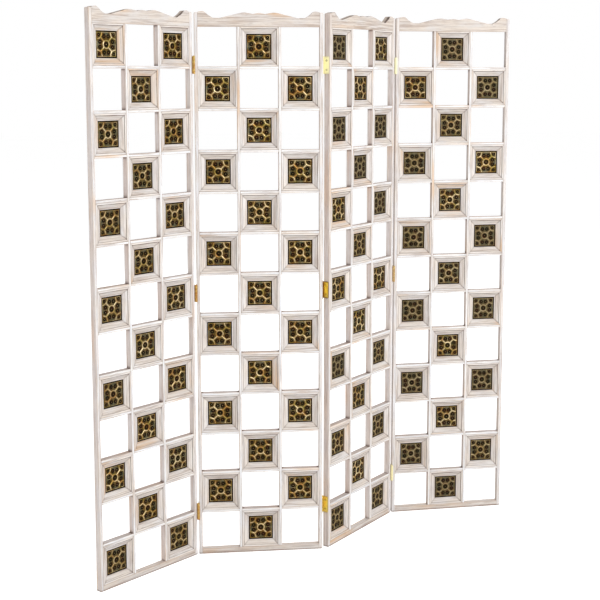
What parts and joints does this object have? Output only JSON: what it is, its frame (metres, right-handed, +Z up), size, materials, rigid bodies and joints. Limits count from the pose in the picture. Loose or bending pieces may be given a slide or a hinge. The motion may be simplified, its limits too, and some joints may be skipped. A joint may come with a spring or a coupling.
{
  "type": "folding screen",
  "caption": "Free-standing folding room divider: hinged panels of moulded square cells, open and tiled in a checkerboard, under scalloped crest boards, on butt hinges.",
  "frame": {"origin": "on the floor, in the middle of the footprint of the screen as it stands folded in the picture", "axes": "+Z up, +X along the second panel from its hinge with the first to its hinge with the third, -Y is the front, where the tiles are set"},
  "size_m": [1.4636, 0.655, 1.8002],
  "materials": {
    "limewashed_frame": "brushed limewash over a warm brown softwood, matt, worn through to the wood in places",
    "limewashed_lattice": "brushed limewash, matt, thinner in the quirks and mitres of the mouldings",
    "hinge_brass": "bright lacquered brass",
    "pressed_brass": "thin pressed brass sheet, blackened in the ground and rubbed back on the raised lines"
  },
  "bodies": {
    "panel_1": {"stile_left_1": "limewashed_frame", "stile_right_1": "limewashed_frame", "crest_rail_1": "limewashed_frame", "bottom_rail_1": "limewashed_frame", "mullion_1_1": "limewashed_lattice", "mullion_1_2": "limewashed_lattice", "grille_1": "limewashed_lattice", "hinge_1_2_bottom_left_leaf": "hinge_brass", "hinge_1_2_bottom_pin": "hinge_brass", "hinge_1_2_middle_left_leaf": "hinge_brass", "hinge_1_2_middle_pin": "hinge_brass", "hinge_1_2_top_left_leaf": "hinge_brass", "hinge_1_2_top_pin": "hinge_brass"},
    "panel_2": {"stile_left_2": "limewashed_frame", "stile_right_2": "limewashed_frame", "crest_rail_2": "limewashed_frame", "bottom_rail_2": "limewashed_frame", "mullion_2_1": "limewashed_lattice", "mullion_2_2": "limewashed_lattice", "grille_2": "limewashed_lattice", "hinge_1_2_bottom_right_leaf": "hinge_brass", "hinge_1_2_middle_right_leaf": "hinge_brass", "hinge_1_2_top_right_leaf": "hinge_brass", "hinge_2_3_bottom_left_leaf": "hinge_brass", "hinge_2_3_bottom_pin": "hinge_brass", "hinge_2_3_middle_left_leaf": "hinge_brass", "hinge_2_3_middle_pin": "hinge_brass", "hinge_2_3_top_left_leaf": "hinge_brass", "hinge_2_3_top_pin": "hinge_brass"},
    "panel_3": {"stile_left_3": "limewashed_frame", "stile_right_3": "limewashed_frame", "crest_rail_3": "limewashed_frame", "bottom_rail_3": "limewashed_frame", "mullion_3_1": "limewashed_lattice", "mullion_3_2": "limewashed_lattice", "grille_3": "limewashed_lattice", "hinge_2_3_bottom_right_leaf": "hinge_brass", "hinge_2_3_middle_right_leaf": "hinge_brass", "hinge_2_3_top_right_leaf": "hinge_brass", "hinge_3_4_bottom_left_leaf": "hinge_brass", "hinge_3_4_bottom_pin": "hinge_brass", "hinge_3_4_middle_left_leaf": "hinge_brass", "hinge_3_4_middle_pin": "hinge_brass", "hinge_3_4_top_left_leaf": "hinge_brass", "hinge_3_4_top_pin": "hinge_brass"},
    "panel_4": {"stile_left_4": "limewashed_frame", "stile_right_4": "limewashed_frame", "crest_rail_4": "limewashed_frame", "bottom_rail_4": "limewashed_frame", "mullion_4_1": "limewashed_lattice", "mullion_4_2": "limewashed_lattice", "grille_4": "limewashed_lattice", "hinge_3_4_bottom_right_leaf": "hinge_brass", "hinge_3_4_middle_right_leaf": "hinge_brass", "hinge_3_4_top_right_leaf": "hinge_brass"}
  },
  "joints": [
    {"name": "hinge_1_2", "type": "hinge", "parent": "panel_2", "child": "panel_1", "pos_m": [-0.40364, -0.05237, 0.887], "axis": [0, 0, 1], "range_deg": [-41.9, 138.1]},
    {"name": "hinge_2_3", "type": "hinge", "parent": "panel_2", "child": "panel_3", "pos_m": [0.01586, -0.02137, 0.887], "axis": [0, 0, 1], "range_deg": [-48.8, 131.2]},
    {"name": "hinge_3_4", "type": "hinge", "parent": "panel_3", "child": "panel_4", "pos_m": [0.3155, 0.27385, 0.887], "axis": [0, 0, -1], "range_deg": [-45, 135]}
  ]
}
